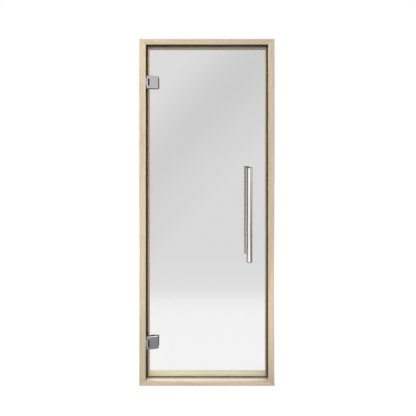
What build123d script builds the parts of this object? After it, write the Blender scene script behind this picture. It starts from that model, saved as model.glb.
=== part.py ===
from build123d import *
from math import cos, radians, sin, tan
import os

# Glass sauna door in a slim timber frame, seen closed from the outside.
# Millimetres. X runs to the right, -Y faces the viewer, Z is up; the origin lies
# under the middle of the sill, halfway through the depth of the frame.
# "Depth" below is always measured back from the front face of the frame.

# Frame: four mitred timber members with a rebate for the glass
frame_width = 780.0
frame_height = 2000.0
frame_depth = 65.0
jamb_face = 37.0
head_face = 32.0
sill_face = 27.0
rebate_depth = 36.0
stop_width = 9.0
sill_stop_width = 16.0

# Seal: a soft profile let into the rebate, flush with the inner arris
seal_groove_start = 3.0
seal_groove = 2.0
seal_lip_width = 4.5
seal_lip_thick = 3.5

# Glass: one toughened pane hung inside the rebate
glass_thick = 8.0
glass_recess = 19.0
glass_gap = 5.5
clamp_hole_radius = 6.0
handle_hole_radius = 6.0

# Hinges: a frame leaf in the seal groove and a pair of clamp plates on the glass
hinge_top_inset = 248.5
hinge_bottom_inset = 244.5
hinge_height = 75.0
knuckle_height = 40.0
knuckle_radius = 6.5
knuckle_gap = 0.3
knuckle_side_gap = 1.0
pin_depth = 7.5
pin_radius = 3.5
pin_clearance = 0.05
leaf_thick = 2.5
leaf_depth = 27.0
web_thick = 8.0
clamp_width = 49.5
clamp_gap = 7.5
clamp_taper = 9.5
clamp_bevel = 2.5
clamp_end_bevel_width = 2.5
clamp_end_bevel_depth = 2.5
ear_back_gap = 4.5
back_clamp_height = 60.0
back_clamp_thick = 10.0
gasket_thick = 1.0
gasket_margin = 2.0
gasket_tail = 12.0

# Screws: two in each frame leaf, two through each pair of clamp plates
leaf_screw_spacing = 46.0
leaf_screw_setback = 22.0
leaf_screw_radius = 2.0
leaf_screw_head = 4.0
leaf_screw_length = 26.0
clamp_screw_spacing = 36.0
clamp_screw_radius = 3.0
clamp_screw_head = 6.0
clamp_screw_bite = 7.0

# Handle: one vertical tube on each side of the glass, on two standoffs each
handle_inset = 108.5
handle_z = 999.0
handle_length = 527.0
handle_radius = 17.0
handle_wall = 1.5
handle_offset = 64.5
standoff_spacing = 326.0
standoff_radius = 10.0
washer_radius = 12.0
washer_thick = 1.5
stud_radius = 4.0
stud_grip = 14.0
cap_thick = 3.0
tube_chamfer = 0.6

# Derived positions
front = -frame_depth / 2
back = frame_depth / 2
half_width = frame_width / 2
glass_front = front + glass_recess
glass_back = glass_front + glass_thick
pane_half_width = half_width - jamb_face - glass_gap
pane_bottom = sill_face + glass_gap
pane_top = frame_height - head_face - glass_gap
# On the sill the seal starts behind the glass
sill_seal_start = glass_recess + glass_thick
seal_face = -half_width + jamb_face
leaf_back_x = seal_face - seal_groove
leaf_front_x = leaf_back_x + leaf_thick
pin_x = leaf_front_x + knuckle_side_gap + knuckle_radius
pin_y = front + pin_depth
clamp_left = pin_x + knuckle_radius + clamp_gap
clamp_middle = clamp_left + clamp_width / 2
clamp_right = clamp_left + clamp_width
hinge_heights = {"upper": frame_height - hinge_top_inset, "lower": hinge_bottom_inset}
leaf_front = front + seal_groove_start
leaf_middle = leaf_front + leaf_depth / 2
leaf_screw_y = front + leaf_screw_setback
handle_x = pane_half_width - handle_inset
standoff_heights = {
    "top": handle_z + standoff_spacing / 2,
    "bottom": handle_z - standoff_spacing / 2,
}
os.makedirs("parts", exist_ok=True)


def save(piece, label):
    piece.label = label
    export_step(piece, f"parts/{label}.step")


def trapezoid(side, outer, inner):
    # Corners of one mitred member between two rectangles. Each rectangle is given by
    # how far it lies in from the outside of the frame at the sides, head and sill.
    (side_out, head_out, sill_out), (side_in, head_in, sill_in) = outer, inner
    outside = {
        "left_low": (-half_width + side_out, sill_out),
        "left_high": (-half_width + side_out, frame_height - head_out),
        "right_high": (half_width - side_out, frame_height - head_out),
        "right_low": (half_width - side_out, sill_out),
    }
    inside = {
        "left_low": (-half_width + side_in, sill_in),
        "left_high": (-half_width + side_in, frame_height - head_in),
        "right_high": (half_width - side_in, frame_height - head_in),
        "right_low": (half_width - side_in, sill_in),
    }
    first, second = {
        "left": ("left_low", "left_high"),
        "top": ("left_high", "right_high"),
        "right": ("right_high", "right_low"),
        "bottom": ("right_low", "left_low"),
    }[side]
    return [outside[first], outside[second], inside[second], inside[first]]


# Timber frame: each member is built up in depth from the front lip, the part that is
# grooved for the seal, and the wider stop behind the glass.
edge = (0.0, 0.0, 0.0)
arris = (jamb_face, head_face, sill_face)
groove = (jamb_face - seal_groove, head_face - seal_groove, sill_face)
full_groove = (jamb_face - seal_groove, head_face - seal_groove, sill_face - seal_groove)
stop = (jamb_face + stop_width, head_face + stop_width, sill_face + sill_stop_width)
seal_lip = tuple(inset + seal_lip_width for inset in arris)
frame_members = {
    "hinge_jamb": "left",
    "head_rail": "top",
    "latch_jamb": "right",
    "sill": "bottom",
}

member_layers = [
    (edge, arris, 0, seal_groove_start),
    (edge, groove, seal_groove_start, sill_seal_start),
    (edge, full_groove, sill_seal_start, rebate_depth),
    (edge, stop, rebate_depth, frame_depth),
]

for member_name, side in frame_members.items():
    with BuildPart() as member:
        for outer, inner, start, end in member_layers:
            with BuildSketch(Plane.XZ.offset(-(front + start))):
                with BuildLine():
                    Polyline(*trapezoid(side, outer, inner), close=True)
                make_face()
            extrude(amount=-(end - start))
        if side == "left":
            # Pilot holes for the screws of the frame leaves
            with BuildSketch(Plane.YZ.offset(leaf_back_x)):
                for height in hinge_heights.values():
                    with Locations((leaf_screw_y, height)):
                        with GridLocations(0, leaf_screw_spacing, 1, 2):
                            Circle(leaf_screw_radius)
            extrude(amount=-leaf_screw_length, mode=Mode.SUBTRACT)
    save(member.part, member_name)

# Seals: a strip flush with the rebate and a lip on the stop that faces the glass.
# The strip on the hinge side is cut out where the frame leaves sit.
seals = {
    "hinge_side_seal": "left",
    "head_seal": "top",
    "latch_side_seal": "right",
    "sill_seal": "bottom",
}
seal_lip_start = rebate_depth - seal_lip_thick
low_seal_layers = [
    (full_groove, arris, sill_seal_start, seal_lip_start),
    (full_groove, seal_lip, seal_lip_start, rebate_depth),
]
seal_layers = [(groove, arris, seal_groove_start, sill_seal_start)] + low_seal_layers

for seal_name, side in seals.items():
    with BuildPart() as seal:
        for outer, inner, start, end in low_seal_layers if side == "bottom" else seal_layers:
            with BuildSketch(Plane.XZ.offset(-(front + start))):
                with BuildLine():
                    Polyline(*trapezoid(side, outer, inner), close=True)
                make_face()
            extrude(amount=-(end - start))
        if side == "left":
            with BuildSketch(Plane.YZ.offset(leaf_back_x)):
                for height in hinge_heights.values():
                    with Locations((leaf_middle, height)):
                        Rectangle(leaf_depth, hinge_height)
            extrude(amount=leaf_thick, mode=Mode.SUBTRACT)
    save(seal.part, seal_name)

# Glass pane: drilled for the clamp screws and for the studs of the handle
with BuildPart() as glass_pane:
    with BuildSketch(Plane.XZ.offset(-glass_front)):
        with Locations((0, (pane_top + pane_bottom) / 2)):
            Rectangle(2 * pane_half_width, pane_top - pane_bottom)
        for height in hinge_heights.values():
            with Locations((clamp_middle, height)):
                with GridLocations(0, clamp_screw_spacing, 1, 2):
                    Circle(clamp_hole_radius, mode=Mode.SUBTRACT)
        for height in standoff_heights.values():
            with Locations((handle_x, height)):
                Circle(handle_hole_radius, mode=Mode.SUBTRACT)
    extrude(amount=-glass_thick)
save(glass_pane.part, "glass_pane")

# Hinges: the front clamp is thickest at the pin and tapers towards its far end, which
# has a wider bevel
front_clamp_back = glass_front - gasket_thick
back_clamp_front = glass_back + gasket_thick
back_clamp_back = back_clamp_front + back_clamp_thick
taper = radians(clamp_taper)
tangent_x = pin_x + knuckle_radius * sin(taper)
tangent_y = pin_y - knuckle_radius * cos(taper)
bevel_x = clamp_right - clamp_end_bevel_width
bevel_y = tangent_y + (bevel_x - tangent_x) * tan(taper)
ear_back = front_clamp_back - ear_back_gap
clamp_outline = [
    (tangent_x, tangent_y),
    (bevel_x, bevel_y),
    (clamp_right, bevel_y + clamp_end_bevel_depth),
    (clamp_right, front_clamp_back),
    (clamp_left, front_clamp_back),
    (clamp_left, ear_back),
    (pin_x, ear_back),
    (pin_x, pin_y),
]

for hinge_name, height in hinge_heights.items():
    hinge_bottom = height - hinge_height / 2
    knuckle_bottom = height - knuckle_height / 2

    # Frame leaf: a plate in the groove, a web and the middle knuckle round the pin
    with BuildPart() as frame_leaf:
        with BuildSketch(Plane.YZ.offset(leaf_back_x)):
            with Locations((leaf_middle, height)):
                Rectangle(leaf_depth, hinge_height)
        extrude(amount=leaf_thick)
        with BuildSketch(Plane.XY.offset(knuckle_bottom)):
            with Locations(((leaf_back_x + pin_x) / 2, pin_y)):
                Rectangle(pin_x - leaf_back_x, web_thick)
            with Locations((pin_x, pin_y)):
                Circle(knuckle_radius)
        extrude(amount=knuckle_height)
        with BuildSketch(Plane.XY.offset(knuckle_bottom)):
            with Locations((pin_x, pin_y)):
                Circle(pin_radius)
        extrude(amount=knuckle_height, mode=Mode.SUBTRACT)
        for screw_height in (height - leaf_screw_spacing / 2, height + leaf_screw_spacing / 2):
            with BuildSketch(Plane.YZ.offset(leaf_front_x)):
                with Locations((leaf_screw_y, screw_height)):
                    Circle(leaf_screw_head)
            with BuildSketch(Plane.YZ.offset(leaf_back_x)):
                with Locations((leaf_screw_y, screw_height)):
                    Circle(leaf_screw_radius)
            loft(mode=Mode.SUBTRACT)
    save(frame_leaf.part, f"{hinge_name}_frame_leaf")

    # Hinge pin: fast in the middle knuckle, free in the ears of the front clamp
    with BuildPart() as hinge_pin:
        with BuildSketch(Plane.XY.offset(hinge_bottom)):
            with Locations((pin_x, pin_y)):
                Circle(pin_radius)
        extrude(amount=hinge_height)
    save(hinge_pin.part, f"{hinge_name}_hinge_pin")

    # Leaf screws: countersunk, driven sideways into the jamb
    for place, step in (("top", 1), ("bottom", -1)):
        screw_height = height + step * leaf_screw_spacing / 2
        with BuildPart() as leaf_screw:
            with BuildSketch(Plane.YZ.offset(leaf_front_x)):
                with Locations((leaf_screw_y, screw_height)):
                    Circle(leaf_screw_head)
            with BuildSketch(Plane.YZ.offset(leaf_back_x)):
                with Locations((leaf_screw_y, screw_height)):
                    Circle(leaf_screw_radius)
            loft()
            with BuildSketch(Plane.YZ.offset(leaf_back_x)):
                with Locations((leaf_screw_y, screw_height)):
                    Circle(leaf_screw_radius)
            extrude(amount=-leaf_screw_length)
        save(leaf_screw.part, f"{hinge_name}_leaf_screw_{place}")

    # Front clamp: a bevelled block that turns on the pin with an ear at each end,
    # notched between them for the middle knuckle
    with BuildPart() as clamp_barrel:
        with BuildSketch(Plane.XY.offset(hinge_bottom)):
            with Locations((pin_x, pin_y)):
                Circle(knuckle_radius)
        extrude(amount=hinge_height)
        chamfer(clamp_barrel.edges().filter_by(GeomType.CIRCLE), clamp_bevel)

    with BuildPart() as front_clamp:
        with BuildSketch(Plane.XY.offset(hinge_bottom)):
            with BuildLine():
                Polyline(*clamp_outline, close=True)
            make_face()
        extrude(amount=hinge_height)
        ends = front_clamp.edges().filter_by(GeomType.LINE).group_by(Axis.Z)
        face_edges = [
            edge
            for end in (ends[0], ends[-1])
            for edge in end
            if edge.center().X > clamp_left and edge.center().Y < bevel_y + clamp_end_bevel_depth
        ]
        chamfer(face_edges, clamp_bevel)
        add(clamp_barrel.part)
        with BuildSketch(Plane.XY.offset(knuckle_bottom - knuckle_gap)):
            with Locations(((clamp_left + pin_x) / 2 - knuckle_radius, pin_y)):
                Rectangle(clamp_left - pin_x + 2 * knuckle_radius, 4 * knuckle_radius)
        extrude(amount=knuckle_height + 2 * knuckle_gap, mode=Mode.SUBTRACT)
        with BuildSketch(Plane.XY.offset(hinge_bottom)):
            with Locations((pin_x, pin_y)):
                Circle(pin_radius + pin_clearance)
        extrude(amount=hinge_height, mode=Mode.SUBTRACT)
        with BuildSketch(Plane.XZ.offset(-front_clamp_back)):
            with Locations((clamp_middle, height)):
                with GridLocations(0, clamp_screw_spacing, 1, 2):
                    Circle(clamp_screw_radius)
        extrude(amount=clamp_screw_bite, mode=Mode.SUBTRACT)
    save(front_clamp.part, f"{hinge_name}_front_clamp")

    # Back clamp: a bevelled plate, countersunk for the two screws
    with BuildPart() as back_clamp:
        with BuildSketch(Plane.XZ.offset(-back_clamp_front)):
            with Locations((clamp_middle, height)):
                Rectangle(clamp_width, back_clamp_height)
        extrude(amount=-back_clamp_thick)
        chamfer(back_clamp.faces().sort_by(Axis.Y)[-1].edges(), clamp_bevel)
        for step in (1, -1):
            screw_height = height + step * clamp_screw_spacing / 2
            with BuildSketch(Plane.XZ.offset(-back_clamp_back)):
                with Locations((clamp_middle, screw_height)):
                    Circle(clamp_screw_head)
            with BuildSketch(Plane.XZ.offset(-(back_clamp_back - clamp_screw_radius))):
                with Locations((clamp_middle, screw_height)):
                    Circle(clamp_screw_radius)
            loft(mode=Mode.SUBTRACT)
            with BuildSketch(Plane.XZ.offset(-back_clamp_front)):
                with Locations((clamp_middle, screw_height)):
                    Circle(clamp_screw_radius)
            extrude(amount=-back_clamp_thick, mode=Mode.SUBTRACT)
    save(back_clamp.part, f"{hinge_name}_back_clamp")

    # Clamp gaskets: thin pads between the plates and the glass. The front one runs on
    # under the ears and closes the slot beside the knuckle.
    for face, gasket_start, tail in (("front", front_clamp_back, gasket_tail),
                                     ("back", glass_back, 0)):
        with BuildPart() as gasket:
            with BuildSketch(Plane.XZ.offset(-gasket_start)):
                with Locations((clamp_middle - tail / 2, height)):
                    Rectangle(clamp_width - 2 * gasket_margin + tail,
                              back_clamp_height - 2 * gasket_margin)
                with Locations((clamp_middle, height)):
                    with GridLocations(0, clamp_screw_spacing, 1, 2):
                        Circle(clamp_screw_radius, mode=Mode.SUBTRACT)
            extrude(amount=-gasket_thick)
        save(gasket.part, f"{hinge_name}_{face}_gasket")

    # Clamp screws: from the back plate through the glass into the front plate
    screw_tip = front_clamp_back - clamp_screw_bite
    for place, step in (("top", 1), ("bottom", -1)):
        screw_height = height + step * clamp_screw_spacing / 2
        with BuildPart() as clamp_screw:
            with BuildSketch(Plane.XZ.offset(-back_clamp_back)):
                with Locations((clamp_middle, screw_height)):
                    Circle(clamp_screw_head)
            with BuildSketch(Plane.XZ.offset(-(back_clamp_back - clamp_screw_radius))):
                with Locations((clamp_middle, screw_height)):
                    Circle(clamp_screw_radius)
            loft()
            with BuildSketch(Plane.XZ.offset(-screw_tip)):
                with Locations((clamp_middle, screw_height)):
                    Circle(clamp_screw_radius)
            extrude(amount=-(back_clamp_back - clamp_screw_radius - screw_tip))
        save(clamp_screw.part, f"{hinge_name}_clamp_screw_{place}")

# Handle bars: tubes closed with a dark disc at each end
handle_bottom = handle_z - handle_length / 2
bars = {
    "outer": (glass_front - handle_offset, glass_front, -1),
    "inner": (glass_back + handle_offset, glass_back, 1),
}

for bar_name, (bar_y, glass_face, outward) in bars.items():
    with BuildPart() as handle_bar:
        with BuildSketch(Plane.XY.offset(handle_bottom + cap_thick)):
            with Locations((handle_x, bar_y)):
                Circle(handle_radius)
                Circle(handle_radius - handle_wall, mode=Mode.SUBTRACT)
        extrude(amount=handle_length - 2 * cap_thick)
        outer_rims = handle_bar.edges().filter_by(GeomType.CIRCLE).sort_by(SortBy.RADIUS)[-2:]
        chamfer(outer_rims, tube_chamfer)
    save(handle_bar.part, f"{bar_name}_handle_bar")

    for place, cap_bottom in (("bottom", handle_bottom),
                              ("top", handle_bottom + handle_length - cap_thick)):
        with BuildPart() as end_cap:
            with BuildSketch(Plane.XY.offset(cap_bottom)):
                with Locations((handle_x, bar_y)):
                    Circle(handle_radius)
            extrude(amount=cap_thick)
            chamfer(end_cap.edges().filter_by(GeomType.CIRCLE), tube_chamfer)
        save(end_cap.part, f"{bar_name}_bar_cap_{place}")

    # Standoffs: round posts, saddled to the tube and bored for the stud
    for place, height in standoff_heights.items():
        with BuildPart() as washer:
            with BuildSketch(Plane.XZ.offset(-glass_face)):
                with Locations((handle_x, height)):
                    Circle(washer_radius)
                    Circle(stud_radius, mode=Mode.SUBTRACT)
            extrude(amount=-outward * washer_thick)
        save(washer.part, f"{bar_name}_washer_{place}")

        standoff_foot = glass_face + outward * washer_thick
        with BuildPart() as standoff:
            with BuildSketch(Plane.XZ.offset(-standoff_foot)):
                with Locations((handle_x, height)):
                    Circle(standoff_radius)
            extrude(amount=-outward * (handle_offset - washer_thick))
            with BuildSketch(Plane.XY.offset(handle_bottom)):
                with Locations((handle_x, bar_y)):
                    Circle(handle_radius)
            extrude(amount=handle_length, mode=Mode.SUBTRACT)
            with BuildSketch(Plane.XZ.offset(-standoff_foot)):
                with Locations((handle_x, height)):
                    Circle(stud_radius)
            extrude(amount=-outward * stud_grip, mode=Mode.SUBTRACT)
        save(standoff.part, f"{bar_name}_standoff_{place}")

# Studs: one through the glass at each pair of standoffs
stud_start = glass_front - washer_thick - stud_grip
stud_end = glass_back + washer_thick + stud_grip

for place, height in standoff_heights.items():
    with BuildPart() as stud:
        with BuildSketch(Plane.XZ.offset(-stud_start)):
            with Locations((handle_x, height)):
                Circle(stud_radius)
        extrude(amount=-(stud_end - stud_start))
    save(stud.part, f"handle_stud_{place}")
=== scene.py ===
from math import atan2, cos, pi, radians

import bmesh
import bpy
from mathutils import Matrix, Vector


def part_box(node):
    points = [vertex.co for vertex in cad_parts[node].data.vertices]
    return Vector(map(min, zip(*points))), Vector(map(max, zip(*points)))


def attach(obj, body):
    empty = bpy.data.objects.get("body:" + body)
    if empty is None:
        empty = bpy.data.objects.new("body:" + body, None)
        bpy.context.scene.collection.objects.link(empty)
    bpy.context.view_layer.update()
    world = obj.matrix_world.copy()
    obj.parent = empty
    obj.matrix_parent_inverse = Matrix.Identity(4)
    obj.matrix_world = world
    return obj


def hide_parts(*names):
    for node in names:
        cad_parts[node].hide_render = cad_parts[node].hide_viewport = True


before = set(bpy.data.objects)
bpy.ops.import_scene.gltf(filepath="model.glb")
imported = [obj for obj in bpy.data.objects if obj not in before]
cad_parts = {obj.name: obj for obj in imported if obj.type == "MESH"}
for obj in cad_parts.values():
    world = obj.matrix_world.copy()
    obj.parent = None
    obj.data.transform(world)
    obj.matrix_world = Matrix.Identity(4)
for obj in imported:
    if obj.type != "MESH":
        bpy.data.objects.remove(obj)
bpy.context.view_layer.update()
scene = bpy.context.scene


# Camera: it stands about a metre and a half in front of the closed door, a little to
# the right of its middle and above the handle, and looks straight at the frame. The
# shift alone brings the whole door into the picture, so that its sides stay upright.
camera_place = (0.0694, -1.5525, 1.3369)
camera_lens_mm = 22.85
camera_shift = (-0.0264, -0.1298)
camera_near = 0.01

camera_data = bpy.data.cameras.new("door_camera")
camera_data.lens = camera_lens_mm
camera_data.shift_x, camera_data.shift_y = camera_shift
camera_data.clip_start = camera_near
camera = bpy.data.objects.new("door_camera", camera_data)
camera.location = camera_place
camera.rotation_euler = (radians(90), 0, 0)
scene.collection.objects.link(camera)
scene.camera = camera
scene.view_settings.view_transform = "Standard"


# Studio: a white room. Seen straight on or in a mirror it is plain white. Through the
# glass it shows a painted grey sheen: a slanting band a little darker than the
# rest, and nearly white low down. All else is lit evenly by it.
white = (1.0, 1.0, 1.0)
world_light = 0.62
sheen_slant = 1.07
sheen_span = (-0.15, 0.48)
sheen_tones = (
    (0.00, 0.732), (0.15, 0.706), (0.30, 0.690), (0.44, 0.664),
    (0.59, 0.655), (0.73, 0.682), (0.82, 0.716), (1.00, 0.778),
)
low_span = (-0.76, -0.36)
low_tone = (1.02, 1.02, 1.02)
low_shares = (
    (0.00, 1.00), (0.38, 0.88), (0.455, 0.79), (0.53, 0.61),
    (0.61, 0.30), (0.86, 0.05), (1.00, 0.00),
)


def feed(tree, socket, value):
    # Gives a socket a number or a colour of its own, or a link from another socket
    if isinstance(value, (int, float)):
        socket.default_value = value
    elif isinstance(value, tuple):
        socket.default_value = (*value, 1.0)
    else:
        tree.links.new(value, socket)


def math_node(tree, operation, first, second=0.0):
    node = tree.nodes.new("ShaderNodeMath")
    node.operation = operation
    feed(tree, node.inputs[0], first)
    feed(tree, node.inputs[1], second)
    return node.outputs[0]


def colour_mix(tree, share, first, second, blend="MIX"):
    node = tree.nodes.new("ShaderNodeMix")
    node.data_type = "RGBA"
    node.blend_type = blend
    for socket_name, value in (("Factor", share), ("A", first), ("B", second)):
        feed(tree, node.inputs[socket_name], value)
    return node.outputs["Result"]


def shader_mix(tree, share, first, second):
    node = tree.nodes.new("ShaderNodeMixShader")
    for socket, value in zip(node.inputs, (share, first, second)):
        tree.links.new(value, socket)
    return node.outputs[0]


def spread(tree, value, span, result=(0.0, 1.0)):
    # The value's share of a span, held at both ends, or the number that it stands for
    node = tree.nodes.new("ShaderNodeMapRange")
    node.inputs["From Min"].default_value, node.inputs["From Max"].default_value = span
    node.inputs["To Min"].default_value, node.inputs["To Max"].default_value = result
    tree.links.new(value, node.inputs["Value"])
    return node.outputs["Result"]


def tone_ramp(tree, value, stops, curve="LINEAR"):
    # Colours or greys, each at its share of the way
    node = tree.nodes.new("ShaderNodeValToRGB")
    node.color_ramp.interpolation = curve
    elements = node.color_ramp.elements
    for index, (share, tone) in enumerate(stops):
        if index == 0:
            stop = elements[0]
        elif index == len(stops) - 1:
            stop = elements[-1]
        else:
            stop = elements.new(share)
        stop.position = share
        stop.color = (*tone, 1.0) if isinstance(tone, tuple) else (tone, tone, tone, 1.0)
    tree.links.new(value, node.inputs["Fac"])
    return node.outputs["Color"]


def smooth_run(tree, value, span, stops):
    # Tones that flow into each other along a span; none of them passes 1
    return tone_ramp(tree, spread(tree, value, span), stops, "CARDINAL")


def coordinate_axes(tree, kind):
    place = tree.nodes.new("ShaderNodeTexCoord")
    axes = tree.nodes.new("ShaderNodeSeparateXYZ")
    tree.links.new(place.outputs[kind], axes.inputs["Vector"])
    return axes.outputs


world = bpy.data.worlds.new("studio_world")
scene.world = world
world.use_nodes = True
world_tree = world.node_tree
world_tree.nodes.clear()

sight = coordinate_axes(world_tree, "Generated")
ahead = math_node(world_tree, "ABSOLUTE", sight["Y"])
rise = math_node(world_tree, "DIVIDE", sight["Z"], ahead)
aside = math_node(world_tree, "DIVIDE", sight["X"], ahead)
slant = math_node(world_tree, "SUBTRACT", rise,
                  math_node(world_tree, "MULTIPLY", aside, sheen_slant))
sheen = colour_mix(
    world_tree, smooth_run(world_tree, rise, low_span, low_shares),
    smooth_run(world_tree, slant, sheen_span, sheen_tones), low_tone,
)

world_path = world_tree.nodes.new("ShaderNodeLightPath")
plain_ray = math_node(world_tree, "MAXIMUM",
                      world_path.outputs["Is Camera Ray"], world_path.outputs["Is Glossy Ray"])
backgrounds = []
for colour, strength in ((white, world_light), (white, 1.0), (sheen, 1.0)):
    background = world_tree.nodes.new("ShaderNodeBackground")
    background.inputs["Strength"].default_value = strength
    feed(world_tree, background.inputs["Color"], colour)
    backgrounds.append(background.outputs[0])
world_lit, world_seen, world_behind = backgrounds
world_output = world_tree.nodes.new("ShaderNodeOutputWorld")
world_tree.links.new(
    shader_mix(world_tree, world_path.outputs["Is Transmission Ray"],
               shader_mix(world_tree, plain_ray, world_lit, world_seen), world_behind),
    world_output.inputs["Surface"],
)


# Lamps: four soft boxes, at the left and the right of the camera, behind the door and
# high above it. All of them point at the middle of the door, and no mirror shows them.
lamp_target = Vector((0, 0, 1.0))

for lamp_name, lamp_place, lamp_size, lamp_watts in (
    ("left_softbox", (-1.6, -2.6, 2.4), (1.6, 2.0), 45),
    ("right_softbox", (2.4, -2.2, 2.0), (1.2, 2.0), 22),
    ("back_softbox", (0.6, 2.6, 2.2), (2.0, 2.0), 22),
    ("top_softbox", (0.0, 0.4, 12.0), (6.0, 6.0), 850),
):
    lamp_data = bpy.data.lights.new(lamp_name, "AREA")
    lamp_data.shape = "RECTANGLE"
    lamp_data.size, lamp_data.size_y = lamp_size
    lamp_data.energy = lamp_watts
    lamp = bpy.data.objects.new(lamp_name, lamp_data)
    lamp.location = lamp_place
    lamp_aim = lamp_target - Vector(lamp_place)
    lamp.rotation_euler = lamp_aim.to_track_quat("-Z", "Y").to_euler()
    scene.collection.objects.link(lamp)
    lamp.visible_transmission = False
    lamp.visible_glossy = False


# Cards: sheets beside, above and in front of the door that only mirrored rays meet.
# They give the round bars and the bevels of the hinges their dark, warm and bright sides.
card_dark = (0.22, 0.21, 0.20)
card_warm_dark = (0.34, 0.30, 0.27)
card_warm = (0.92, 0.82, 0.75)
card_bright = (1.55, 1.55, 1.55)


def studio_sheet(name, half_size, place, turn, material):
    # A flat sheet, turned about X and then about Z, which isn't part of the door
    bm = bmesh.new()
    bmesh.ops.create_grid(bm, x_segments=1, y_segments=1, size=1.0)
    bmesh.ops.scale(bm, vec=(*half_size, 1.0), verts=bm.verts)
    tilt, swivel = (radians(angle) for angle in turn)
    sheet_turn = Matrix.Rotation(swivel, 3, "Z") @ Matrix.Rotation(tilt, 3, "X")
    bmesh.ops.rotate(bm, matrix=sheet_turn, verts=bm.verts)
    bmesh.ops.translate(bm, vec=place, verts=bm.verts)
    mesh = bpy.data.meshes.new(name)
    bm.to_mesh(mesh)
    bm.free()
    mesh.materials.append(material)
    sheet = bpy.data.objects.new(name, mesh)
    scene.collection.objects.link(sheet)
    return sheet


def card_paint(name, axis, span, stops):
    material = bpy.data.materials.new(name)
    material.use_nodes = True
    tree = material.node_tree
    tree.nodes.clear()
    output = tree.nodes.new("ShaderNodeOutputMaterial")
    glow = tree.nodes.new("ShaderNodeEmission")
    along = spread(tree, coordinate_axes(tree, "Object")[axis], span)
    tree.links.new(tone_ramp(tree, along, stops), glow.inputs["Color"])
    tree.links.new(glow.outputs[0], output.inputs["Surface"])
    return material


for card_name, half_size, place, turn, axis, span, stops in (
    ("left_card", (2.07, 1.8), (-1.6, 0.33, 1.8), (90, 90), "Y", (-1.74, 0.28),
     ((0.0, white), (0.26, card_dark), (0.72, card_dark), (1.0, (0.46, 0.47, 0.47)))),
    ("right_card", (3.4, 0.9), (1.9, -1.5, 0.9), (90, 90), "Z", (0.1, 1.1),
     ((0.0, card_warm_dark), (1.0, card_warm))),
    ("right_high_card", (3.4, 0.9), (1.9, -1.5, 2.7), (90, 90), "Z", (1.8, 2.4),
     ((0.0, card_warm), (1.0, (0.24, 0.24, 0.24)))),
    ("front_card", (2.49, 1.3), (-1.11, -3.4, 1.3), (90, 0), "Z", (1.2, 2.6),
     ((0.0, card_bright), (1.0, white))),
    ("floor_card", (2.2, 1.7), (-1.2, -1.7, 0.004), (0, 0), "Y", (-1.7, -0.1),
     ((0.0, card_bright), (1.0, (0.28, 0.28, 0.29)))),
    ("right_floor_card", (1.2, 1.7), (2.2, -1.7, 0.004), (0, 0), "X", (1.0, 1.5),
     ((0.0, (1.0, 0.95, 0.90)), (1.0, card_warm_dark))),
    ("top_card", (1.6, 1.35), (0.0, -0.85, 3.0), (0, 0), "Y", (-2.2, 0.5),
     ((0.0, (3.4, 3.4, 3.4)), (1.0, (1.2, 1.2, 1.2)))),
):
    card = studio_sheet(card_name, half_size, place, turn,
                        card_paint(f"{card_name}_paint", axis, span, stops))
    card.visible_camera = False
    card.visible_diffuse = False
    card.visible_shadow = False
    card.visible_transmission = False


# Floor: a plain white sheet of matt paper that keeps the door's soft shadow. It glows
# for the camera alone, so that it runs into the white of the room without an edge.
floor_half = 9.0
floor_glow = 0.7
floor_colour = (0.55, 0.55, 0.55, 1.0)
floor_roughness = 0.9

floor_paint = bpy.data.materials.new("floor_paint")
floor_paint.use_nodes = True
floor_tree = floor_paint.node_tree
floor_shader = floor_tree.nodes["Principled BSDF"]
floor_shader.inputs["Base Color"].default_value = floor_colour
floor_shader.inputs["Roughness"].default_value = floor_roughness
floor_shader.inputs["Emission Color"].default_value = (*white, 1.0)
floor_path = floor_tree.nodes.new("ShaderNodeLightPath")
floor_tree.links.new(
    math_node(floor_tree, "MULTIPLY", floor_path.outputs["Is Camera Ray"], floor_glow),
    floor_shader.inputs["Emission Strength"],
)
floor_sheet = studio_sheet("studio_floor", (floor_half, floor_half), (0, 0, 0), (0, 0),
                           floor_paint)
floor_sheet.visible_transmission = False
floor_sheet.visible_glossy = False


# Timber frame: two jambs, a head and a sill of pale planed alder, mitred and glued at
# the corners and rebated for the glass. The arrises are eased with sandpaper, the mitres
# show as hairlines, and each member is grained along its own length.
arris_radius = 0.0013
arris_segments = 3
mitre_gap = 0.00015
long_edge = 0.4
merge_distance = 2e-6
flat_angle = 0.6

# Where the stop behind the glass begins and ends, and how far it lies from the outside
stop_depth = (0.0005, 0.003)
stop_back = 0.0305
stop_inset = 0.024
# The painted highlight on the sill's lip, from its middle out
lip_middle = -0.0215
lip_spread = (0.0030, 0.0075)
# How squarely a face has to look up or forwards to count as doing so
facing_least = 0.9

# How dense the bands, the fibres and the pores are, across and along the grain, and then
# how fine their detail is and how much they waver
band_streaks = ((38, 1.2), 5.0, 0.4)
fibre_streaks = ((420, 7), 6.0, 0.2)
pore_streaks = ((1900, 70), 2.0, 0.0)
streak_roughness = 0.58
timber_tones = (
    (0.30, (0.545, 0.440, 0.318)), (0.47, (0.640, 0.535, 0.395)), (0.68, (0.700, 0.600, 0.455)),
)
fibre_stain, fibre_span, fibre_strength = (0.84, 0.79, 0.72), (0.38, 0.60), 0.60
pore_stain, pore_span, pore_strength = (0.72, 0.64, 0.54), (0.30, 0.42), 0.45
timber_gloss = (0.52, 0.40)
fibre_relief = (0.20, 0.0003)
pore_relief = (0.15, 0.0001)


def copied_mesh(node):
    # A merged copy of a drawn part, with its flat faces whole again
    bm = bmesh.new()
    bm.from_mesh(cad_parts[node].data)
    bmesh.ops.remove_doubles(bm, verts=bm.verts, dist=merge_distance)
    bmesh.ops.dissolve_limit(
        bm, angle_limit=radians(flat_angle), verts=bm.verts, edges=bm.edges, delimit=set()
    )
    return bm


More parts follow.
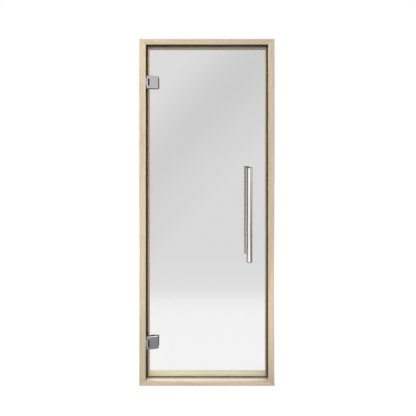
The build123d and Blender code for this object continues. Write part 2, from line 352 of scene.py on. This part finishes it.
def ease_edges(bm, edges, width, segments=2):
    bmesh.ops.bevel(
        bm, geom=edges, offset=width, offset_type="OFFSET", affect="EDGES",
        segments=segments, profile=0.5, material=-1, clamp_overlap=True,
    )


def finished_piece(bm, name, material, body, node, smooth_angle=None):
    mesh = bpy.data.meshes.new(name)
    bm.to_mesh(mesh)
    bm.free()
    mesh.materials.append(material)
    if smooth_angle is not None:
        mesh.polygons.foreach_set("use_smooth", [True] * len(mesh.polygons))
        mesh.set_sharp_from_angle(angle=radians(smooth_angle))
    piece = bpy.data.objects.new(name, mesh)
    scene.collection.objects.link(piece)
    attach(piece, body)
    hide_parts(node)
    return piece


def new_material(name):
    material = bpy.data.materials.new(name)
    material.use_nodes = True
    tree = material.node_tree
    return material, tree, tree.nodes["Principled BSDF"]


def noise(tree, detail, size=1.0, stretch=(1, 1, 1), shift=(0, 0, 0), roughness=0.5,
          waver=0.0):
    place = tree.nodes.new("ShaderNodeTexCoord")
    mapping = tree.nodes.new("ShaderNodeMapping")
    mapping.inputs["Scale"].default_value = stretch
    mapping.inputs["Location"].default_value = shift
    tree.links.new(place.outputs["Object"], mapping.inputs["Vector"])
    node = tree.nodes.new("ShaderNodeTexNoise")
    node.inputs["Scale"].default_value = size
    node.inputs["Detail"].default_value = detail
    node.inputs["Roughness"].default_value = roughness
    node.inputs["Distortion"].default_value = waver
    tree.links.new(mapping.outputs["Vector"], node.inputs["Vector"])
    return node.outputs["Fac"]


def relief(tree, height, strength, distance, beneath=None):
    node = tree.nodes.new("ShaderNodeBump")
    node.inputs["Strength"].default_value = strength
    node.inputs["Distance"].default_value = distance
    tree.links.new(height, node.inputs["Height"])
    if beneath is not None:
        tree.links.new(beneath, node.inputs["Normal"])
    return node.outputs["Normal"]


def timber(name, level, outside, reach, shift, tint, run, stop_tint, stop_run,
           stop_face_tint, ledge_tint=white, lip_tint=white):
    # Slow bands of tone, fine fibres and short pores, all drawn out along the grain. The
    # tones of the board change along its length. The stop and its face carry painted light
    # and shade for the rebate's shade behind the glass, changing along the length too; faces
    # that look up can carry painted shade, and the lip in front of the glass a painted
    # highlight.
    material, tree, shader = new_material(name)
    length_axis, width_axis = ("X", "Z") if level else ("Z", "X")

    def streaks(density, detail, waver):
        across, along = density
        stretch = (along, across, across) if level else (across, across, along)
        return noise(tree, detail, stretch=stretch, shift=shift, roughness=streak_roughness,
                     waver=waver)

    bands = streaks(*band_streaks)
    fibres = streaks(*fibre_streaks)
    pores = streaks(*pore_streaks)

    place = coordinate_axes(tree, "Object")
    facing = coordinate_axes(tree, "Normal")
    inset = math_node(tree, "ABSOLUTE",
                      math_node(tree, "SUBTRACT", place[width_axis], outside))
    behind = math_node(tree, "MULTIPLY", spread(tree, place["Y"], stop_depth),
                       math_node(tree, "LESS_THAN", place["Y"], stop_back))
    on_stop = math_node(tree, "MULTIPLY", behind,
                        math_node(tree, "GREATER_THAN", inset, stop_inset))
    on_stop_face = math_node(tree, "MULTIPLY", on_stop,
                             math_node(tree, "LESS_THAN", facing["Y"], -facing_least))
    on_ledge = math_node(tree, "GREATER_THAN", facing["Z"], facing_least)
    from_lip = math_node(tree, "ABSOLUTE",
                         math_node(tree, "SUBTRACT", place["Y"], lip_middle))
    on_lip = math_node(tree, "MULTIPLY", spread(tree, from_lip, lip_spread, (1.0, 0.0)),
                       on_ledge)

    colour = tone_ramp(tree, bands, [
        (share, tuple(c * t for c, t in zip(tone, tint))) for share, tone in timber_tones
    ])
    # Painted light and shade: the stop and its face, faces turned up and the sill's lip are
    # tinted here
    for share, share_tint in (
        (1.0, smooth_run(tree, place[length_axis], reach, run)),
        (on_stop, stop_tint),
        (on_stop, smooth_run(tree, place[length_axis], reach, stop_run)),
        (on_stop_face, stop_face_tint),
        (on_ledge, ledge_tint),
        (on_lip, lip_tint),
        (fibre_strength, tone_ramp(tree, spread(tree, fibres, fibre_span),
                                   ((0.0, fibre_stain), (1.0, white)))),
        (pore_strength, tone_ramp(tree, spread(tree, pores, pore_span),
                                  ((0.0, pore_stain), (1.0, white)))),
    ):
        colour = colour_mix(tree, share, colour, share_tint, "MULTIPLY")
    tree.links.new(colour, shader.inputs["Base Color"])
    tree.links.new(spread(tree, fibres, (0.0, 1.0), timber_gloss), shader.inputs["Roughness"])
    tree.links.new(
        relief(tree, pores, *pore_relief, beneath=relief(tree, fibres, *fibre_relief)),
        shader.inputs["Normal"],
    )
    return material


def eased_member(node, level, outer_side, **board):
    bm = copied_mesh(node)
    axis = 0 if level else 2
    ease_edges(bm, [
        edge for edge in bm.edges
        if abs(edge.verts[1].co[axis] - edge.verts[0].co[axis]) > long_edge
    ], arris_radius, arris_segments)
    # The ends draw back from the mitre by a hair
    low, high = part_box(node)
    middle = [(a + b) / 2 for a, b in zip(low, high)]
    shrink = [1.0, 1.0, 1.0]
    shrink[axis] = 1.0 - 2 * mitre_gap / (high[axis] - low[axis])
    bmesh.ops.scale(bm, vec=shrink, space=Matrix.Translation([-m for m in middle]),
                    verts=bm.verts)
    outside = (low, high)[outer_side][2 - axis]
    material = timber(f"{node}_timber", level, outside, (low[axis], high[axis]), **board)
    return finished_piece(bm, f"{node}_planed", material, "frame", node)


# The stop tints and stop runs are painted light and shade for the rebate's shade behind the
# glass
eased_member(
    "hinge_jamb", level=False, outer_side=0, shift=(0.0, 0.0, 0.0), tint=(0.97, 0.965, 0.965),
    run=((0.0, 0.91), (0.15, 0.87), (0.24, 0.97), (1.0, 0.95)),
    stop_tint=(1.74, 1.36, 0.80),
    stop_run=((0.0, (0.73, 0.79, 0.89)), (0.12, (0.73, 0.79, 0.89)), (0.17, (0.73, 0.76, 0.73)),
              (0.25, (0.67, 0.66, 0.50)), (0.84, (0.67, 0.65, 0.50)), (0.90, 1.0), (1.0, 1.0)),
    stop_face_tint=(1.10, 0.98, 0.90),
)
eased_member(
    "latch_jamb", level=False, outer_side=1, shift=(5.3, 2.9, 1.1), tint=(1.145, 1.139, 1.145),
    run=((0.0, 0.71), (0.23, 0.98), (0.36, 0.83), (0.68, 0.69), (1.0, 0.76)),
    stop_tint=(1.40, 1.40, 1.08),
    stop_run=((0.0, 0.70), (0.15, 0.64), (0.31, 0.64), (0.42, 0.88), (0.80, 0.90), (1.0, 1.0)),
    stop_face_tint=(1.05, 1.0, 0.85),
)
eased_member(
    "head_rail", level=True, outer_side=1, shift=(0.9, 5.1, 2.2), tint=(0.88, 0.868, 0.835),
    run=((0.0, 0.94), (0.25, 0.98), (1.0, 0.78)),
    stop_tint=(0.66, 0.61, 0.48),
    stop_run=((0.0, 1.0), (1.0, 0.96)),
    stop_face_tint=(1.95, 1.82, 1.72),
)
eased_member(
    "sill", level=True, outer_side=0, shift=(2.3, 0.6, 7.5), tint=(1.25, 1.25, 1.275),
    run=((0.0, 1.0), (0.2, 0.95), (0.5, 0.88), (0.75, 0.85), (1.0, 0.78)),
    stop_tint=(1.28, 1.41, 1.31),
    stop_run=((0.0, 1.0), (1.0, 1.0)),
    stop_face_tint=(1.40, 1.40, 1.40),
    # Painted shade on the sill's faces that look up
    ledge_tint=(0.76, 0.76, 0.76),
    # Painted highlight on the sill's lip
    lip_tint=(1.54, 1.68, 1.95),
)


# Seals: strips of dark brown rubber pressed into the rebate, flush with its arris,
# with a flat lip on the stop that the closed glass meets. The strip at the latch and
# the one on the sill are lighter in tone than the other two.
seal_ease = 0.0006
seal_least_run = 0.1
seal_lip_front = -0.0012
rubber_tones = ((0.056, 0.033, 0.014), (0.086, 0.053, 0.025))
rubber_grain, rubber_detail = 700.0, 3.0
rubber_roughness = 0.75
rubber_gleam = 0.2
rubber_relief = (0.15, 0.0002)
# Painted shade on the seal's lip behind the glass
lip_shade = (0.42, 0.36, 0.25)


def seal_rubber(name, level):
    # Matt rubber; its lip, behind the glass, carries painted shade and is the darkest part
    material, tree, shader = new_material(name)
    grain = noise(tree, rubber_detail, rubber_grain)
    tones = [tuple(c * level for c in tone) for tone in rubber_tones]
    on_lip = math_node(tree, "GREATER_THAN", coordinate_axes(tree, "Object")["Y"],
                       seal_lip_front)
    tree.links.new(
        colour_mix(tree, on_lip, tone_ramp(tree, grain, ((0.0, tones[0]), (1.0, tones[1]))),
                   lip_shade, "MULTIPLY"),
        shader.inputs["Base Color"],
    )
    shader.inputs["Roughness"].default_value = rubber_roughness
    shader.inputs["Specular IOR Level"].default_value = rubber_gleam
    tree.links.new(relief(tree, grain, *rubber_relief), shader.inputs["Normal"])
    return material


side_rubber = seal_rubber("side_rubber", level=1.15)
latch_rubber = seal_rubber("latch_rubber", level=2.8)
sill_rubber = seal_rubber("sill_rubber", level=4.4)

for seal_node, rubber in (
    ("hinge_side_seal", side_rubber), ("head_seal", side_rubber),
    ("latch_side_seal", latch_rubber), ("sill_seal", sill_rubber),
):
    seal_bm = copied_mesh(seal_node)
    runs = [edge for edge in seal_bm.edges if edge.calc_length() > seal_least_run]
    ease_edges(seal_bm, runs, seal_ease)
    finished_piece(seal_bm, f"{seal_node}_strip", rubber, "frame", seal_node)


# Glass: one pane of 8 mm clear toughened glass, with the faint green cast of float glass.
# Its faces are polished, and its edges are ground matt with the arrises taken off.
glass_edge_ease = 0.0009
glass_rim = 0.0012
glass_ior = 1.5
glass_gleam = 0.12
glass_cast = (0.895, 0.902, 0.893)
rim_cast = (0.08, 0.068, 0.038)
rim_roughness = (0.50, 0.70)
rim_grain, rim_detail = 900.0, 2.0
glass_shadow = (0.92, 0.93, 0.92, 1.0)

pane_glass, pane_tree, pane_shader = new_material("pane_glass")
pane_shader.inputs["Transmission Weight"].default_value = 1.0
pane_shader.inputs["IOR"].default_value = glass_ior
pane_shader.inputs["Specular IOR Level"].default_value = glass_gleam

# Ground rim: 1 within a millimetre or so of the pane's edge, 0 on the polished faces
pane_low, pane_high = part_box("glass_pane")
pane_place = coordinate_axes(pane_tree, "Object")
past_sides = math_node(pane_tree, "SUBTRACT",
                       math_node(pane_tree, "ABSOLUTE", pane_place["X"]), pane_high[0])
from_middle = math_node(pane_tree, "SUBTRACT", pane_place["Z"], (pane_low[2] + pane_high[2]) / 2)
past_ends = math_node(pane_tree, "SUBTRACT",
                      math_node(pane_tree, "ABSOLUTE", from_middle),
                      (pane_high[2] - pane_low[2]) / 2)
ground = math_node(pane_tree, "GREATER_THAN",
                   math_node(pane_tree, "MAXIMUM", past_sides, past_ends), -glass_rim)
grinding = noise(pane_tree, rim_detail, rim_grain)
pane_tree.links.new(colour_mix(pane_tree, ground, glass_cast, rim_cast),
                    pane_shader.inputs["Base Color"])
pane_tree.links.new(
    math_node(pane_tree, "MULTIPLY", ground,
              spread(pane_tree, grinding, (0.0, 1.0), rim_roughness)),
    pane_shader.inputs["Roughness"],
)

# Lamplight passes straight through, so that the pane throws hardly any shadow
lamp_pass = pane_tree.nodes.new("ShaderNodeBsdfTransparent")
lamp_pass.inputs["Color"].default_value = glass_shadow
pane_path = pane_tree.nodes.new("ShaderNodeLightPath")
pane_tree.links.new(
    shader_mix(pane_tree, pane_path.outputs["Is Shadow Ray"],
               pane_shader.outputs[0], lamp_pass.outputs[0]),
    pane_tree.nodes["Material Output"].inputs["Surface"],
)

pane_bm = copied_mesh("glass_pane")
pane_rim = [edge for edge in pane_bm.edges if edge.calc_length() > long_edge]
ease_edges(pane_bm, pane_rim, glass_edge_ease)
finished_piece(pane_bm, "glass_pane_polished", pane_glass, "door_leaf", "glass_pane")


# Hinges: blocks of satin stainless steel clamped on the glass with plastic pads between,
# each turning on a pin in a leaf that is screwed into the seal's groove. Edges are
# broken with a fine file.
file_width = 0.0003
file_segments = 1
sharp_angle = 35
round_angle = 18
screw_angle = 30
# The radius and the depth of a screw's socket, and half the turn that one flat takes up
leaf_socket = (0.0017, 0.0012)
plate_socket = (0.0029, 0.0021)
half_flat = pi / 6

plate_brushing = (1800, 1800, 60)
pin_brushing = (900, 900, 200)
brush_detail = 4.0
brush_swing = 0.25
darker_grain = 0.86
grain_span = (0.3, 0.7)
steel_relief = (0.12, 0.0001)
# Painted shade on the steel: which faces count as sides, and how much faces turned down add
side_span = (0.15, 0.45)
downward_weight = 0.8
cloud_detail = 3.0
cloud_swing = 0.08


def satin_steel(name, colour, roughness, brushing, side_shade=1.0):
    # Brushed faces; the sides and the lower bevels carry painted shade, and the steel's
    # glancing reflections are dimmed in step with that shade
    material, tree, shader = new_material(name)
    glancing = min(1.0, 2 * side_shade)
    shader.inputs["Metallic"].default_value = 1.0
    shader.inputs["Specular Tint"].default_value = (glancing, glancing, glancing, 1.0)
    scratches = noise(tree, brush_detail, stretch=brushing)
    facing = coordinate_axes(tree, "Normal")
    downward = math_node(tree, "MULTIPLY", math_node(tree, "MINIMUM", facing["Z"], 0.0),
                         downward_weight)
    fronting = math_node(tree, "ADD", math_node(tree, "ABSOLUTE", facing["Y"]), downward)
    tone = tone_ramp(tree, scratches, (
        (grain_span[0], tuple(darker_grain * c for c in colour)), (grain_span[1], colour),
    ))
    shade = tone_ramp(tree, spread(tree, fronting, side_span), ((0.0, side_shade), (1.0, 1.0)))
    tree.links.new(colour_mix(tree, 1.0, tone, shade, "MULTIPLY"), shader.inputs["Base Color"])
    roughness_ends = (roughness * (1 - brush_swing), roughness * (1 + brush_swing))
    tree.links.new(spread(tree, scratches, (0.0, 1.0), roughness_ends),
                   shader.inputs["Roughness"])
    tree.links.new(relief(tree, scratches, *steel_relief), shader.inputs["Normal"])
    return material


def moulded_plastic(name, dark, light, cloud_size, roughness=0.45):
    # Even plastic or rubber with a slight cloud in its tone and gloss
    material, tree, shader = new_material(name)
    cloud = noise(tree, cloud_detail, cloud_size)
    tree.links.new(tone_ramp(tree, cloud, ((0.0, dark), (1.0, light))),
                   shader.inputs["Base Color"])
    roughness_ends = (roughness - cloud_swing, roughness + cloud_swing)
    tree.links.new(spread(tree, cloud, (0.0, 1.0), roughness_ends), shader.inputs["Roughness"])
    return material


def filed_copy(node, name, material, body, width=0.0):
    # Edges that turn sharply are broken; curved faces are left
    bm = copied_mesh(node)
    if width:
        ease_edges(bm, [
            edge for edge in bm.edges
            if edge.is_manifold and edge.calc_face_angle(0.0) > radians(sharp_angle)
        ], width, file_segments)
    return finished_piece(bm, name, material, body, node, round_angle)


def socket_screw(node, name, body, axis, socket_radius, socket_depth):
    # A countersunk screw whose flat head, towards +X or +Y, has a hexagon socket
    bm = copied_mesh(node)
    head = max(bm.faces, key=lambda face: face.calc_center_median()[axis])
    centre = head.calc_center_median()
    head_radius = max((vert.co - centre).length for vert in head.verts)
    bmesh.ops.inset_individual(bm, faces=[head], thickness=head_radius - socket_radius)
    for vert in head.verts:
        spoke = vert.co - centre
        turn = atan2(spoke.z, spoke[1 - axis]) % (2 * half_flat) - half_flat
        vert.co = centre + spoke.normalized() * socket_radius * cos(half_flat) / cos(turn)
    bottom = bmesh.ops.extrude_discrete_faces(bm, faces=[head])["faces"][0]
    sink = Vector((0, 0, 0))
    sink[axis] = -socket_depth
    bmesh.ops.translate(bm, vec=sink, verts=bottom.verts)
    return finished_piece(bm, name, pin_steel, body, node, screw_angle)


# The clamps carry painted shade on their sides and lower bevels
hinge_steel = satin_steel("hinge_steel", (0.46, 0.46, 0.46), roughness=0.24,
                          brushing=plate_brushing, side_shade=0.12)
# The leaf and knuckle take a lighter copy of the hinge steel: painted light
knuckle_steel = satin_steel("knuckle_steel", (0.68, 0.68, 0.69), roughness=0.26,
                            brushing=plate_brushing)
pin_steel = satin_steel("pin_steel", (0.56, 0.56, 0.56), roughness=0.22,
                        brushing=pin_brushing)
pad_plastic = moulded_plastic("pad_plastic", (0.090, 0.092, 0.096), (0.130, 0.132, 0.136),
                              cloud_size=90.0, roughness=0.6)

for hinge in ("upper", "lower"):
    for node_end, name_end, steel, body, slot in (
        ("front_clamp", "clamp_block", hinge_steel, "door_leaf", "hinge_steel"),
        ("back_clamp", "clamp_plate", hinge_steel, "door_leaf", "hinge_steel"),
        ("frame_leaf", "leaf_and_knuckle", knuckle_steel, "frame", "hinge_steel"),
        ("hinge_pin", "turned_pin", pin_steel, "frame", "fixings"),
    ):
        filed_copy(f"{hinge}_{node_end}", f"{hinge}_{name_end}", steel, body, file_width)
    for end in ("top", "bottom"):
        socket_screw(f"{hinge}_leaf_screw_{end}", f"{hinge}_jamb_screw_{end}",
                     "frame", 0, *leaf_socket)
        socket_screw(f"{hinge}_clamp_screw_{end}", f"{hinge}_plate_screw_{end}",
                     "door_leaf", 1, *plate_socket)
    for face in ("front", "back"):
        filed_copy(f"{hinge}_{face}_gasket", f"{hinge}_{face}_pad", pad_plastic,
                   "door_leaf")


# Handle: a polished stainless tube on each side of the glass, closed with dark discs at
# its ends. Each tube is welded to two round posts, which meet through the pane on a stud
# and bear on rings of natural nylon.
tube_brushing = (700, 700, 25)

# Both tubes carry painted shade on their limbs
handle_steel = satin_steel("handle_steel", (0.66, 0.65, 0.63), roughness=0.10,
                           brushing=tube_brushing, side_shade=0.75)
# The tube behind the glass takes a darker copy of the same steel: painted shade
inner_steel = satin_steel("inner_steel", (0.56, 0.55, 0.53), roughness=0.14,
                          brushing=tube_brushing, side_shade=0.70)
cap_plastic = moulded_plastic("cap_plastic", (0.050, 0.050, 0.050), (0.075, 0.075, 0.072),
                              cloud_size=160.0)
ring_nylon = moulded_plastic("ring_nylon", (0.72, 0.72, 0.69), (0.84, 0.84, 0.81),
                             cloud_size=140.0)

for bar, bar_steel in (("outer", handle_steel), ("inner", inner_steel)):
    filed_copy(f"{bar}_handle_bar", f"{bar}_tube", bar_steel, "door_leaf")
    for end in ("top", "bottom"):
        filed_copy(f"{bar}_bar_cap_{end}", f"{bar}_disc_{end}", cap_plastic,
                   "door_leaf")
        filed_copy(f"{bar}_standoff_{end}", f"{bar}_post_{end}", handle_steel,
                   "door_leaf")
        filed_copy(f"{bar}_washer_{end}", f"{bar}_ring_{end}", ring_nylon,
                   "door_leaf", file_width)
for end in ("top", "bottom"):
    filed_copy(f"handle_stud_{end}", f"handle_rod_{end}", pin_steel, "door_leaf")
